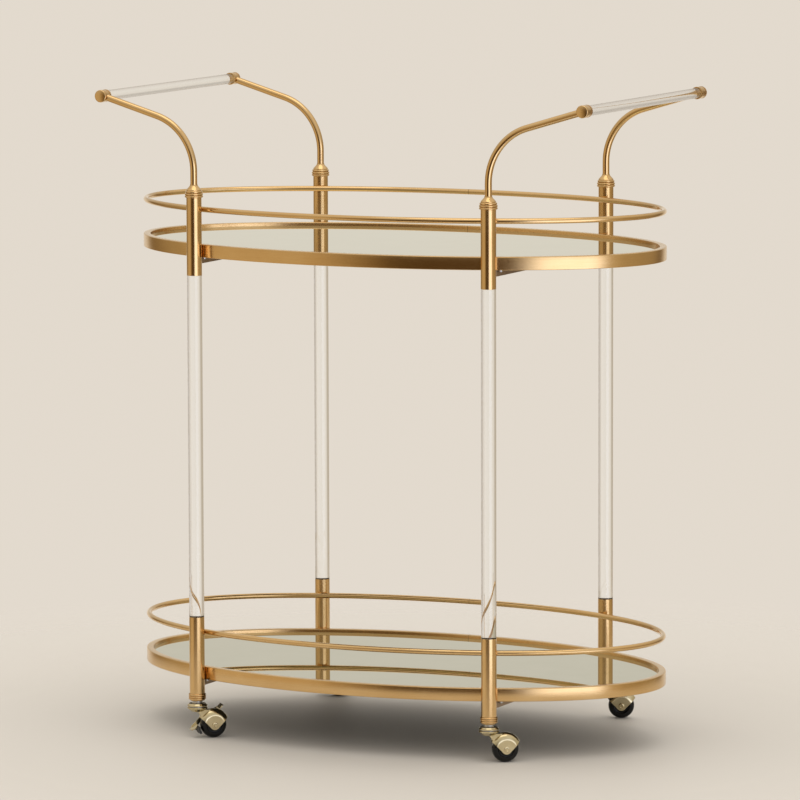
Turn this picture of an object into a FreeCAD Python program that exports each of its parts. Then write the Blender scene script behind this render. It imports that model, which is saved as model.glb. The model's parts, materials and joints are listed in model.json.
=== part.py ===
"""Oval two-tier bar cart: metal tray rings and rails, clear acrylic posts and push bars, swivel casters.

Millimetres, +Z up.  The origin is on the floor under the middle of the cart.  X runs along the trays, from one
push bar to the other, and -Y is the front.
"""
import FreeCAD, Part
import math
import os
import Sketcher

DOCUMENT = FreeCAD.newDocument("BarCart")
SHEET = DOCUMENT.addObject("Spreadsheet::Sheet", "Cart")
NODES = []

CORNERS = {"front_left": (-1, -1), "front_right": (1, -1), "back_left": (-1, 1), "back_right": (1, 1)}
TIERS = ("upper", "lower")
SIDES = {"left": -1, "right": 1}
CASTER_HEADINGS = {"front_left": 43, "front_right": 39, "back_left": 20, "back_right": 25}
BRAKED_CASTERS = ("front_left", "back_left")

DRIVING_SIZES = (
    ("tray_length", 810, "outer length of a tray ring"),
    ("tray_depth", 465, "outer depth of a tray ring"),
    ("band_width", 10, "wall of the tray ring, seen from above"),
    ("band_height", 19, "height of the tray ring"),
    ("band_edge", 0.8, "radius on the tray ring's edges"),
    ("upper_tray_top", 717, "top of the upper tray ring"),
    ("lower_tray_top", 104, "top of the lower tray ring"),
    ("mirror_recess", 5, "mirror face below the ring's top"),
    ("mirror_thickness", 4, "mirror glass"),
    ("mirror_play", 0.3, "gap between the mirror's edge and the ring"),
    ("rail_radius", 4, "gallery rail rod"),
    ("rail_rise", 50, "ring top to the middle of the rail"),
    ("contact_turn", 55.6, "where a post touches the oval, as the oval's own angle, in degrees"),
    ("tube_radius", 11, "outside of a post sleeve"),
    ("bore_radius", 9.5, "inside of a post sleeve"),
    ("sleeve_length", 112, "length of a post sleeve"),
    ("lower_sleeve_foot", 65.5, "bottom of the lower sleeve"),
    ("upper_sleeve_top", 784.8, "top of the upper sleeve"),
    ("acrylic_radius", 10.8, "clear post between the sleeves"),
    ("spigot_length", 30, "clear post inside a sleeve"),
    ("stud_radius", 2, "stud from a post into a ring or rail"),
    ("stud_reach", 16, "far end of a stud from the post's axis"),
    ("screw_radius", 1.75, "tray screw shank"),
    ("screw_head_radius", 2.8, "tray screw head"),
    ("screw_head_height", 2.4, "tray screw head"),
    ("screw_bite", 8, "tray screw shank inside the ring"),
    ("screw_offset", 9, "tray screw beside its post, along the tray"),
    ("collar_plug", 14, "top collar inside the sleeve"),
    ("collar_bead", 3.3, "height of a collar bead"),
    ("collar_waist", 11.6, "collar radius between its beads"),
    ("collar_shoulder", 10, "top of the collar's beads above the sleeve"),
    ("collar_height", 18.9, "top of the collar's neck above the sleeve"),
    ("collar_seat", 7.2, "foot of the arm above the sleeve"),
    ("neck_radius", 5.5, "collar neck round the arm"),
    ("arm_radius", 5, "handle arm rod"),
    ("arm_rise", 29.5, "straight foot of the arm"),
    ("arm_bend", 82, "bend radius of the arm"),
    ("arm_slope", 16.5, "slope of the arm's outer run, in degrees"),
    ("handle_reach", 147, "push bar's axis outside the posts"),
    ("handle_radius", 7.5, "clear push bar"),
    ("cap_length", 18, "handle cap"),
    ("cap_wall", 2, "closed end of the handle cap"),
    ("cap_radius", 9, "handle cap's rims"),
    ("cap_body_radius", 8.8, "handle cap between its rims"),
    ("cap_groove_radius", 8.2, "handle cap in its grooves"),
    ("cap_chamfer", 1.2, "edge of the cap's end face"),
    ("crossbar_width", 12, "bar under the tray"),
    ("crossbar_height", 8.8, "bar under the tray"),
    ("foot_collar_height", 10.2, "collar under the lower sleeve"),
    ("foot_waist", 11.2, "foot collar radius between its beads"),
    ("socket_length", 30, "stem socket inside the lower sleeve"),
    ("stem_radius", 4, "caster stem in its socket"),
    ("stem_length", 18, "caster stem above the foot collar"),
    ("stem_collar_radius", 7.7, "bright collar of the caster stem"),
    ("stem_collar_height", 4.3, "bright collar of the caster stem"),
    ("swivel_pin_radius", 3, "pin that the caster turns on"),
    ("swivel_pin_length", 10.5, "pin below the stem's collar"),
    ("swivel_bore_radius", 3.05, "bore that the swivel pin turns in"),
    ("pin_bead", 0.5, "bead that keeps the caster on its pin"),
    ("plate_radius", 14.7, "caster top plate and cup"),
    ("plate_height", 3.7, "caster top plate"),
    ("washer_radius", 12.5, "thrust washer"),
    ("washer_height", 1, "thrust washer"),
    ("swivel_play", 0.3, "gap between the washer and the turning cup"),
    ("cup_height", 6.5, "turning cup"),
    ("cup_foot_radius", 9, "turning cup's underside"),
    ("cup_rim", 2.5, "straight rim of the turning cup"),
    ("caster_trail", 23.5, "wheel axle behind the post's axis"),
    ("wheel_radius", 19, "wheel"),
    ("wheel_half_width", 8, "wheel"),
    ("wheel_shoulder", 6, "round edge of the tread"),
    ("wheel_web_radius", 11.8, "outer radius of the dished side"),
    ("wheel_hub_radius", 6, "inner radius of the dished side"),
    ("wheel_dish", 1.5, "depth of the dished side"),
    ("wheel_bore_radius", 2.55, "running bore of the wheel"),
    ("axle_radius", 2.5, "caster axle"),
    ("axle_head_radius", 4.3, "rivet head of the axle"),
    ("axle_head_height", 1.2, "rivet head of the axle"),
    ("hood_radius", 23.5, "outside of the hood"),
    ("hood_half_width", 11, "outside of the hood's cheeks"),
    ("hood_shoulder", 10.5, "round edge of the hood"),
    ("hood_room_radius", 20.8, "inside of the hood"),
    ("hood_room_half_width", 9.4, "inside of the hood's cheeks"),
    ("hood_room_shoulder", 8.9, "round edge inside the hood"),
    ("hood_mouth", 30, "angle of the hood's ends above the axle, in degrees"),
    ("cheek_radius", 7, "foot of the teardrop cheek round the axle"),
    ("horn_half_width", 6.5, "horn between the cup and the hood"),
    ("pivot_left", 10, "brake pivot ahead of the axle"),
    ("pivot_rise", 12, "brake pivot above the axle"),
    ("pivot_radius", 2, "brake pivot pin"),
    ("pivot_bore_radius", 2.05, "running bore of the brake lever"),
    ("lever_gap", 0.4, "brake lever plate clear of the cheek"),
    ("lever_plate", 1.5, "brake lever sheet"),
    ("lever_width", 6, "brake lever arm"),
    ("pad_root", 23.8, "end of the lever's arm under the release pad, from the axle"),
    ("pad_reach", 27.6, "middle of the release pad from the axle"),
    ("pad_turn", 63, "direction of the release pad from the axle, in degrees"),
    ("pad_slope", 43, "slope of the release pad, in degrees"),
    ("pad_length", 7.5, "release pad"),
    ("pad_corner", 2.5, "round corners of the release pad"),
    ("tab_turn", 190, "direction of the locking tab from the axle, in degrees"),
    ("tab_reach", 27.2, "middle of the locking tab from the axle"),
    ("tab_slope", 37, "slope of the locking tab, in degrees"),
    ("tab_length", 12, "locking tab"),
    ("tab_corner", 4.5, "round corners of the locking tab"),
    ("tab_span", 15, "pad and tab across the wheel"),
    ("shoe_inner", 21.5, "brake shoe's face from the axle when it is released"),
    ("shoe_outer", 24.3, "brake shoe's back from the axle"),
    ("shoe_first", 186, "brake shoe's upper end, as an angle round the axle"),
    ("shoe_last", 212, "brake shoe's lower end, as an angle round the axle"),
)

# A post stands against the outside of the oval where the oval's angle is contact_turn.
ACROSS = "cos(Cart.contact_turn) / Cart.tray_length"
ALONG = "sin(Cart.contact_turn) / Cart.tray_depth"
STEEPNESS = f"sqrt(({ACROSS}) ^ 2 + ({ALONG}) ^ 2)"
NORMAL_X = f"({ACROSS} / {STEEPNESS})"
NORMAL_Y = f"({ALONG} / {STEEPNESS})"
POST_X = f"(Cart.tray_length / 2 * cos(Cart.contact_turn) + Cart.tube_radius * {NORMAL_X})"
POST_Y = f"(Cart.tray_depth / 2 * sin(Cart.contact_turn) + Cart.tube_radius * {NORMAL_Y})"


def fill_sheet():
    """Writes the driving sizes as plain numbers, each with its alias and a note."""
    for row, (alias, number, note) in enumerate(DRIVING_SIZES, start=1):
        SHEET.set(f"A{row}", alias)
        SHEET.set(f"B{row}", str(number))
        SHEET.set(f"C{row}", note)
        SHEET.setAlias(f"B{row}", alias)
    DOCUMENT.recompute()


def size(expression):
    """The present value of a sheet expression."""
    return float(SHEET.evalExpression(expression))


def bind(feature, **properties):
    """Binds properties of a feature to sheet expressions."""
    for name, expression in properties.items():
        feature.setExpression(name, expression)


def place(x=0.0, y=0.0, z=0.0, axis=(0, 0, 1), angle=0.0):
    """A placement: turned about an axis, then moved."""
    turn = FreeCAD.Rotation(FreeCAD.Vector(*axis), angle)
    return FreeCAD.Placement(FreeCAD.Vector(x, y, z), turn)


def along_y(x=0.0, y=0.0, z=0.0):
    """A placement that lays a piece's own Z axis along +Y."""
    return place(x, y, z, axis=(1, 0, 0), angle=-90)


def node(feature, name, placement=None):
    """Makes a feature a finished sub-part with its own name and place."""
    feature.Label = name
    if placement is not None:
        feature.Placement = placement
    NODES.append(feature)
    return feature


# ---------------------------------------------------------------- sketches and features

def origin_plane(body, role):
    """One of the body's own origin planes."""
    return next(item for item in body.Origin.OriginFeatures if item.Role == role)


def new_sketch(body, name, role):
    """A sketch on one of the body's origin planes."""
    sketch = body.newObject("Sketcher::SketchObject", name)
    sketch.AttachmentSupport = [(origin_plane(body, role), "")]
    sketch.MapMode = "FlatFace"
    return sketch


def arc_between(first, last, centre_x, turn):
    """The arc from first to last whose centre has the given x, going round anticlockwise for turn 1."""
    middle = (first + last) * 0.5
    chord = last - first
    shift = (middle.x - centre_x) / chord.y
    centre = FreeCAD.Vector(centre_x, middle.y + shift * chord.x, 0)
    start, end = (first, last) if turn > 0 else (last, first)
    angles = [math.atan2(point.y - centre.y, point.x - centre.x) for point in (start, end)]
    if angles[1] < angles[0]:
        angles[1] += 2 * math.pi
    circle = Part.Circle(centre, FreeCAD.Vector(0, 0, 1), (first - centre).Length)
    return Part.ArcOfCircle(circle, angles[0], angles[1])


def draw_outline(sketch, corners):
    """Closes an outline through corners and binds each coordinate to its sheet expression.

    A corner is (x, y), or (x, y, centre_x, turn) where the edge after it is an arc.
    """
    points = [FreeCAD.Vector(size(corner[0]), size(corner[1]), 0) for corner in corners]
    count = len(corners)
    ends = []
    for index, corner in enumerate(corners):
        first, last = points[index], points[(index + 1) % count]
        if len(corner) == 2:
            sketch.addGeometry(Part.LineSegment(first, last), False)
            ends.append((1, 2))
        else:
            sketch.addGeometry(arc_between(first, last, size(corner[2]), corner[3]), False)
            ends.append((1, 2) if corner[3] > 0 else (2, 1))
    for index, corner in enumerate(corners):
        before = (index - 1) % count
        meeting = Sketcher.Constraint("Coincident", before, ends[before][1], index, ends[index][0])
        sketch.addConstraint(meeting)
        bind_point(sketch, "DistanceX", index, ends[index][0], corner[0])
        bind_point(sketch, "DistanceY", index, ends[index][0], corner[1])
        if len(corner) == 4:
            bind_point(sketch, "DistanceX", index, 3, corner[2])


def bind_point(sketch, kind, geometry, position, expression):
    """Holds one coordinate of a point at a sheet expression."""
    number = sketch.addConstraint(Sketcher.Constraint(kind, -1, 1, geometry, position, size(expression)))
    if "Cart." in expression:
        sketch.setExpression(f"Constraints[{number}]", expression)


def revolved(name, corners, placement=None):
    """A body turned about its own Z axis from an outline of (radius, height) corners."""
    body = DOCUMENT.addObject("PartDesign::Body", name)
    sketch = new_sketch(body, name + "_outline", "XZ_Plane")
    draw_outline(sketch, corners)
    turning = body.newObject("PartDesign::Revolution", name + "_turning")
    turning.Profile = sketch
    turning.ReferenceAxis = (sketch, ["V_Axis"])
    turning.Angle = 360
    if placement is not None:
        body.Placement = placement
    return body


def padded(name, corners, depth, placement=None):
    """A body with an upright outline of (x, z) corners, padded evenly to both sides along Y."""
    body = DOCUMENT.addObject("PartDesign::Body", name)
    sketch = new_sketch(body, name + "_outline", "XZ_Plane")
    draw_outline(sketch, corners)
    pad = body.newObject("PartDesign::Pad", name + "_pad")
    pad.Profile = sketch
    pad.Midplane = True
    bind(pad, Length=depth)
    if placement is not None:
        body.Placement = placement
    return body


def cylinder(name, radius, height, placement):
    """A plain cylinder along its own Z axis."""
    feature = DOCUMENT.addObject("Part::Cylinder", name)
    bind(feature, Radius=radius, Height=height)
    feature.Placement = placement
    return feature


def block(name, length, width, height, placement):
    """A plain block from its own corner."""
    feature = DOCUMENT.addObject("Part::Box", name)
    bind(feature, Length=length, Width=width, Height=height)
    feature.Placement = placement
    return feature


def combined(kind, name, base, tool):
    """A Part boolean of two features: kind is Cut, Fuse or Common."""
    feature = DOCUMENT.addObject("Part::" + kind, name)
    feature.Base = base
    feature.Tool = tool
    return feature


def fused(name, pieces):
    """One solid from several overlapping pieces."""
    feature = DOCUMENT.addObject("Part::MultiFuse", name)
    feature.Shapes = pieces
    feature.Refine = True
    return feature


def grouped(name, pieces):
    """Separate solids that share one node."""
    feature = DOCUMENT.addObject("Part::Compound", name)
    feature.Links = pieces
    return feature


# ---------------------------------------------------------------- where the posts stand

def post_place(corner):
    """A post's axis: the post touches the outside of the oval."""
    side_x, side_y = CORNERS[corner]
    return side_x * size(POST_X), side_y * size(POST_Y)


def handle_height():
    """Height of the push bars, at the end of the arms' outer run."""
    slope = math.radians(size("Cart.arm_slope"))
    bend = size("Cart.arm_bend")
    foot = size("Cart.upper_sleeve_top + Cart.collar_seat + Cart.arm_rise")
    run = size("Cart.handle_reach") - bend + bend * math.sin(slope)
    return foot + bend * math.cos(slope) + run * math.tan(slope)


# ---------------------------------------------------------------- trays

def oval_solid(name, half_length, half_depth, height, z):
    """A straight-sided oval block."""
    oval = DOCUMENT.addObject("Part::Ellipse", name + "_oval")
    bind(oval, MajorRadius=half_length, MinorRadius=half_depth)
    feature = DOCUMENT.addObject("Part::Extrusion", name)
    feature.Base = oval
    feature.DirMode = "Custom"
    feature.Dir = FreeCAD.Vector(0, 0, 1)
    feature.Solid = True
    bind(feature, LengthFwd=height)
    feature.Placement = place(z=z)
    return feature


def tray_frame(tier, studs, screws):
    """The oval ring of rectangular tube, with holes for the studs and the tray screws."""
    top = f"Cart.{tier}_tray_top"
    z = size(f"{top} - Cart.band_height")
    outer = oval_solid(tier + "_ring_outside", "Cart.tray_length / 2", "Cart.tray_depth / 2",
                       "Cart.band_height", z)
    inner = oval_solid(tier + "_ring_inside", "Cart.tray_length / 2 - Cart.band_width",
                       "Cart.tray_depth / 2 - Cart.band_width", "Cart.band_height", z)
    ring = combined("Cut", tier + "_ring", outer, inner)
    DOCUMENT.recompute()
    eased = DOCUMENT.addObject("Part::Fillet", tier + "_ring_eased")
    eased.Base = ring
    radius = size("Cart.band_edge")
    eased.Edges = [
        (index, radius, radius)
        for index, edge in enumerate(ring.Shape.Edges, start=1)
        if edge.Curve.TypeId == "Part::GeomEllipse"
    ]
    drilled = combined("Cut", tier + "_ring_drilled", eased, studs)
    node(combined("Cut", tier + "_tray_frame", drilled, screws), tier + "_tray_frame")


def tray_floor(tier):
    """The mirror and the board under it."""
    half_length = "Cart.tray_length / 2 - Cart.band_width"
    half_depth = "Cart.tray_depth / 2 - Cart.band_width"
    play = " - Cart.mirror_play"
    above_board = "Cart.mirror_recess + Cart.mirror_thickness"
    node(oval_solid(tier + "_mirror", half_length + play, half_depth + play, "Cart.mirror_thickness",
                    size(f"Cart.{tier}_tray_top - ({above_board})")), tier + "_mirror")
    node(oval_solid(tier + "_backing_board", half_length, half_depth, f"Cart.band_height - ({above_board})",
                    size(f"Cart.{tier}_tray_top - Cart.band_height")), tier + "_backing_board")


def gallery_rail(tier, studs):
    """The round rod rail above a tray ring."""
    path = DOCUMENT.addObject("Part::Ellipse", tier + "_rail_path")
    bind(path, MajorRadius="Cart.tray_length / 2 - Cart.rail_radius",
         MinorRadius="Cart.tray_depth / 2 - Cart.rail_radius")
    section = DOCUMENT.addObject("Part::Circle", tier + "_rail_section")
    bind(section, Radius="Cart.rail_radius")
    section.Placement = place(x=size("Cart.tray_length / 2 - Cart.rail_radius"), axis=(1, 0, 0), angle=90)
    DOCUMENT.recompute()
    rod = DOCUMENT.addObject("Part::Sweep", tier + "_rail_rod")
    rod.Sections = [section]
    rod.Spine = (path, ["Edge1"])
    rod.Solid = True
    rod.Placement = place(z=size(f"Cart.{tier}_tray_top + Cart.rail_rise"))
    node(combined("Cut", tier + "_gallery_rail", rod, studs), tier + "_gallery_rail")


def crossbar(tier, side):
    """The flat bar under a tray, from a front post to a back post, coped to both."""
    name = f"{tier}_{side}_crossbar"
    post_x, post_y = post_place("back_" + side)
    z = size(f"Cart.{tier}_tray_top - Cart.band_height - Cart.crossbar_height")
    corner = place(post_x - size("Cart.crossbar_width / 2"), -post_y, z)
    bar = block(name + "_bar", "Cart.crossbar_width", "2 * " + POST_Y, "Cart.crossbar_height", corner)
    copes = [cylinder(f"{name}_{end}_cope", "Cart.tube_radius", "Cart.crossbar_height", place(post_x, y, z))
             for end, y in (("front", -post_y), ("back", post_y))]
    node(combined("Cut", name, bar, grouped(name + "_copes", copes)), name)


def stud_direction(corner):
    """The angle from a post's axis towards the oval."""
    side_x, side_y = CORNERS[corner]
    return math.degrees(math.atan2(-side_y * size(NORMAL_Y), -side_x * size(NORMAL_X)))


def stud_row(name, z):
    """Four studs at one height, from inside each post into the ring or rail."""
    studs = []
    length = "Cart.stud_reach - Cart.bore_radius"
    for corner in CORNERS:
        x, y = post_place(corner)
        angle = math.radians(stud_direction(corner))
        start = size("Cart.bore_radius")
        direction = FreeCAD.Vector(math.cos(angle), math.sin(angle), 0)
        turn = FreeCAD.Rotation(FreeCAD.Vector(0, 0, 1), direction)
        lying = FreeCAD.Placement(FreeCAD.Vector(x, y, z) + direction * start, turn)
        studs.append(cylinder(f"{name}_{corner}", "Cart.stud_radius", length, lying))
    return studs


def screw_outline():
    """A pan-head screw pointing up, with its head's top at height 0."""
    return [
        ("0", "0"),
        ("Cart.screw_head_radius - 0.8", "0"),
        ("Cart.screw_head_radius", "0.8"),
        ("Cart.screw_head_radius", "Cart.screw_head_height"),
        ("Cart.screw_radius", "Cart.screw_head_height"),
        ("Cart.screw_radius", "Cart.screw_head_height + Cart.screw_bite"),
        ("0", "Cart.screw_head_height + Cart.screw_bite"),
    ]


def screw_row(tier):
    """Four screws driven up into the underside of a tray ring, one beside each post."""
    half_length = size("Cart.tray_length / 2 - Cart.band_width / 2")
    half_depth = size("Cart.tray_depth / 2 - Cart.band_width / 2")
    z = size(f"Cart.{tier}_tray_top - Cart.band_height - Cart.screw_head_height")
    screws = []
    for corner, (_, side_y) in CORNERS.items():
        x = post_place(corner)[0] + size("Cart.screw_offset")
        y = side_y * half_depth * math.sqrt(1 - (x / half_length) ** 2)
        screws.append(revolved(f"{tier}_{corner}_screw", screw_outline(), place(x, y, z)))
    return screws


# ---------------------------------------------------------------- posts

def sleeve(corner, tier, z, studs):
    """A metal tube at one end of a post, drilled for its studs."""
    x, y = post_place(corner)
    name = f"{corner}_{tier}_sleeve"
    tube = revolved(name + "_tube", [
        ("Cart.bore_radius", "0"),
        ("Cart.tube_radius", "0"),
        ("Cart.tube_radius", "Cart.sleeve_length"),
        ("Cart.bore_radius", "Cart.sleeve_length"),
    ], place(x, y, z))
    node(combined("Cut", name, tube, studs), name)


def acrylic_post(corner):
    """The clear rod between the sleeves, with a turned spigot at each end."""
    x, y = post_place(corner)
    foot = size("Cart.lower_sleeve_foot + Cart.sleeve_length - Cart.spigot_length")
    clear = "(Cart.upper_sleeve_top - Cart.lower_sleeve_foot - 2 * Cart.sleeve_length + Cart.spigot_length)"
    node(revolved(corner + "_acrylic_post", [
        ("0", "0"),
        ("Cart.bore_radius", "0"),
        ("Cart.bore_radius", "Cart.spigot_length"),
        ("Cart.acrylic_radius", "Cart.spigot_length"),
        ("Cart.acrylic_radius", clear),
        ("Cart.bore_radius", clear),
        ("Cart.bore_radius", clear + " + Cart.spigot_length"),
        ("0", clear + " + Cart.spigot_length"),
    ]), corner + "_acrylic_post", place(x, y, foot))


def top_collar(corner):
    """The beaded collar on a post, which narrows to the arm."""
    x, y = post_place(corner)
    bead = "Cart.collar_waist"
    return revolved(corner + "_top_collar", [
        ("0", "-Cart.collar_plug"),
        ("Cart.bore_radius", "-Cart.collar_plug"),
        ("Cart.bore_radius", "0"),
        (bead, "0", bead, 1),
        (bead, "Cart.collar_bead", bead, 1),
        (bead, "2 * Cart.collar_bead"),
        (bead + " - 0.8", "2 * Cart.collar_bead", bead + " - 0.8", 1),
        (bead + " - 0.8", "Cart.collar_shoulder"),
        (bead + " - 0.6", "Cart.collar_shoulder + 0.9", bead + " + 0.4", -1),
        ("Cart.neck_radius", "Cart.collar_height - 1.2"),
        ("Cart.neck_radius", "Cart.collar_height"),
        ("Cart.arm_radius", "Cart.collar_height"),
        ("Cart.arm_radius", "Cart.collar_seat"),
        ("0", "Cart.collar_seat"),
    ], place(x, y, size("Cart.upper_sleeve_top")))


def bottom_collar(corner):
    """The beaded collar under a post, bored for the caster stem."""
    x, y = post_place(corner)
    waist = "Cart.foot_waist"
    bead = "(Cart.foot_collar_height - 1.5) / 3"
    return revolved(corner + "_bottom_collar", [
        ("Cart.stem_radius", "0"),
        (waist + " - 1.2", "0"),
        (waist, "1.5", waist, 1),
        (waist, "1.5 + " + bead, waist, 1),
        (waist, "1.5 + 2 * " + bead, waist, 1),
        (waist, "Cart.foot_collar_height"),
        ("Cart.stem_radius", "Cart.foot_collar_height"),
    ], place(x, y, size("Cart.lower_sleeve_foot - Cart.foot_collar_height")))


def stem_socket(corner):
    """The plug inside a lower sleeve that grips the caster stem."""
    x, y = post_place(corner)
    return revolved(corner + "_stem_socket", [
        ("Cart.stem_radius", "0"),
        ("Cart.bore_radius", "0"),
        ("Cart.bore_radius", "Cart.socket_length"),
        ("Cart.stem_radius", "Cart.socket_length"),
    ], place(x, y, size("Cart.lower_sleeve_foot")))


# ---------------------------------------------------------------- push handles

def handle_arm(corner):
    """A rod that rises from the collar, bends outwards and meets the cap, coped to it."""
    name = corner + "_handle_arm"
    body = DOCUMENT.addObject("PartDesign::Body", name + "_rod")
    path = new_sketch(body, name + "_path", "XZ_Plane")
    slope = math.radians(size("Cart.arm_slope"))
    bend = size("Cart.arm_bend")
    rise = size("Cart.arm_rise")
    reach = size("Cart.handle_reach")
    corner_point = FreeCAD.Vector(bend - bend * math.sin(slope), rise + bend * math.cos(slope), 0)
    far_point = FreeCAD.Vector(reach, corner_point.y + (reach - corner_point.x) * math.tan(slope), 0)
    circle = Part.Circle(FreeCAD.Vector(bend, rise, 0), FreeCAD.Vector(0, 0, 1), bend)
    path.addGeometry(Part.LineSegment(FreeCAD.Vector(0, 0, 0), FreeCAD.Vector(0, rise, 0)), False)
    path.addGeometry(Part.ArcOfCircle(circle, math.pi / 2 + slope, math.pi), False)
    path.addGeometry(Part.LineSegment(corner_point, far_point), False)
    path.addConstraint(Sketcher.Constraint("Coincident", 0, 1, -1, 1))
    path.addConstraint(Sketcher.Constraint("Vertical", 0))
    path.addConstraint(Sketcher.Constraint("Tangent", 0, 2, 1, 2))
    path.addConstraint(Sketcher.Constraint("Tangent", 1, 1, 2, 1))
    bind_point(path, "DistanceY", 0, 2, "Cart.arm_rise")
    bind_point(path, "DistanceX", 1, 3, "Cart.arm_bend")
    bind_point(path, "DistanceX", 2, 2, "Cart.handle_reach")
    number = path.addConstraint(Sketcher.Constraint("Angle", 2, slope))
    path.setExpression(f"Constraints[{number}]", "Cart.arm_slope * 1 deg")
    section = new_sketch(body, name + "_section", "XY_Plane")
    rod = Part.Circle(FreeCAD.Vector(0, 0, 0), FreeCAD.Vector(0, 0, 1), size("Cart.arm_radius"))
    section.addGeometry(rod, False)
    section.addConstraint(Sketcher.Constraint("Coincident", 0, 3, -1, 1))
    number = section.addConstraint(Sketcher.Constraint("Radius", 0, size("Cart.arm_radius")))
    section.setExpression(f"Constraints[{number}]", "Cart.arm_radius")
    pipe = body.newObject("PartDesign::AdditivePipe", name + "_pipe")
    pipe.Profile = section
    pipe.Spine = (path, ["Edge1", "Edge2", "Edge3"])
    z = size("Cart.upper_sleeve_top + Cart.collar_seat")
    width = size("Cart.cap_length")
    cope = cylinder(name + "_cope", "Cart.cap_body_radius", "Cart.cap_length",
                    along_y(reach, -width / 2, handle_height() - z))
    x, y = post_place(corner)
    turn = 180 if x < 0 else 0
    node(combined("Cut", name, body, cope), name, place(x, y, z, angle=turn))


def handle_cap(corner):
    """The metal cup on one end of a push bar, along its own Z axis with its closed end at the bottom."""
    name = corner + "_handle_cap"
    side_x, side_y = CORNERS[corner]
    x = post_place(corner)[0] + side_x * size("Cart.handle_reach")
    y = post_place(corner)[1]
    rim, groove, barrel = "Cart.cap_radius", "Cart.cap_groove_radius", "Cart.cap_body_radius"
    half = size("Cart.cap_length / 2")
    turn = -90 if side_y < 0 else 90
    node(revolved(name, [
        ("0", "0"),
        (rim + " - Cart.cap_chamfer", "0"),
        (rim, "Cart.cap_chamfer"),
        (rim, "Cart.cap_length / 2 - 5.5"),
        (groove, "Cart.cap_length / 2 - 5.5"),
        (groove, "Cart.cap_length / 2 - 4.5"),
        (barrel, "Cart.cap_length / 2 - 4.5"),
        (barrel, "Cart.cap_length / 2 + 5"),
        (groove, "Cart.cap_length / 2 + 5"),
        (groove, "Cart.cap_length / 2 + 6"),
        (rim, "Cart.cap_length / 2 + 6"),
        (rim, "Cart.cap_length"),
        ("Cart.handle_radius", "Cart.cap_length"),
        ("Cart.handle_radius", "Cart.cap_wall"),
        ("0", "Cart.cap_wall"),
    ]), name, place(x, y + side_y * half, handle_height(), axis=(1, 0, 0), angle=turn))


def handle_bar(side):
    """The clear push bar across one end of the cart."""
    name = side + "_handle_bar"
    post_x, post_y = post_place("back_" + side)
    x = post_x + SIDES[side] * size("Cart.handle_reach")
    half = f"({POST_Y} + Cart.cap_length / 2 - Cart.cap_wall)"
    bar = cylinder(name, "Cart.handle_radius", "2 * " + half, along_y(x, -size(half), handle_height()))
    node(bar, name)


# ---------------------------------------------------------------- casters
# A caster is drawn with its post's axis as its Z axis, the floor at 0 and its wheel on the +X side.

def caster_place(corner):
    """Where a caster stands, turned to its heading."""
    x, y = post_place(corner)
    return place(x, y, 0, angle=CASTER_HEADINGS[corner])


def stem_foot():
    """Underside of the stem's bright collar."""
    return size("Cart.lower_sleeve_foot - Cart.foot_collar_height - Cart.stem_collar_height")


def wheel_axis(y=0.0):
    """A placement along Y on the wheel's axle, from the given y."""
    return along_y(size("Cart.caster_trail"), y, size("Cart.wheel_radius"))


def cup_top():
    """Height of the turning cup, under the plate, washer and play."""
    return stem_foot() - size("Cart.plate_height + Cart.washer_height + Cart.swivel_play")


def caster_stem(corner):
    """The bright stem: a shank in the socket, a collar, and the pin that the caster turns on."""
    x, y = post_place(corner)
    collar = "Cart.stem_collar_radius"
    return revolved(corner + "_caster_stem", [
        ("0", "-Cart.swivel_pin_length"),
        ("Cart.swivel_pin_radius - 0.5", "-Cart.swivel_pin_length"),
        ("Cart.swivel_pin_radius", "0.5 - Cart.swivel_pin_length"),
        ("Cart.swivel_pin_radius", "2.4 - Cart.swivel_pin_length"),
        ("Cart.swivel_pin_radius + Cart.pin_bead", "2.8 - Cart.swivel_pin_length"),
        ("Cart.swivel_pin_radius + Cart.pin_bead", "3.4 - Cart.swivel_pin_length"),
        ("Cart.swivel_pin_radius", "3.8 - Cart.swivel_pin_length"),
        ("Cart.swivel_pin_radius", "0"),
        (collar + " - 0.6", "0"),
        (collar, "0.6"),
        (collar, "Cart.stem_collar_height - 0.6"),
        (collar + " - 0.6", "Cart.stem_collar_height"),
        ("Cart.stem_radius", "Cart.stem_collar_height"),
        ("Cart.stem_radius", "Cart.stem_collar_height + Cart.stem_length"),
        ("0", "Cart.stem_collar_height + Cart.stem_length"),
    ], place(x, y, stem_foot()))


def caster_top_plate(corner):
    """The fixed round plate above the turning cup."""
    x, y = post_place(corner)
    rim = "Cart.plate_radius - 1"
    return revolved(corner + "_caster_top_plate", [
        ("Cart.swivel_pin_radius", "0"),
        (rim, "0", rim, 1),
        (rim, "2"),
        ("Cart.plate_radius - 2.5", "Cart.plate_height"),
        ("Cart.swivel_pin_radius", "Cart.plate_height"),
    ], place(x, y, cup_top() + size("Cart.swivel_play + Cart.washer_height")))


def swivel_washer(corner):
    """The thrust washer under the top plate."""
    x, y = post_place(corner)
    return revolved(corner + "_swivel_washer", [
        ("Cart.swivel_pin_radius", "0"),
        ("Cart.washer_radius", "0"),
        ("Cart.washer_radius", "Cart.washer_height"),
        ("Cart.swivel_pin_radius", "Cart.washer_height"),
    ], place(x, y, cup_top() + size("Cart.swivel_play")))


def drum(name, radius, half_width, shoulder):
    """A round-shouldered drum about the wheel's axle."""
    return revolved(name, [
        ("0", "-" + half_width),
        (f"{radius} - {shoulder}", "-" + half_width, f"{radius} - {shoulder}", 1),
        (radius, f"{shoulder} - {half_width}"),
        (radius, f"{half_width} - {shoulder}", f"{radius} - {shoulder}", 1),
        (f"{radius} - {shoulder}", half_width),
        ("0", half_width),
    ], wheel_axis())


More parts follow.
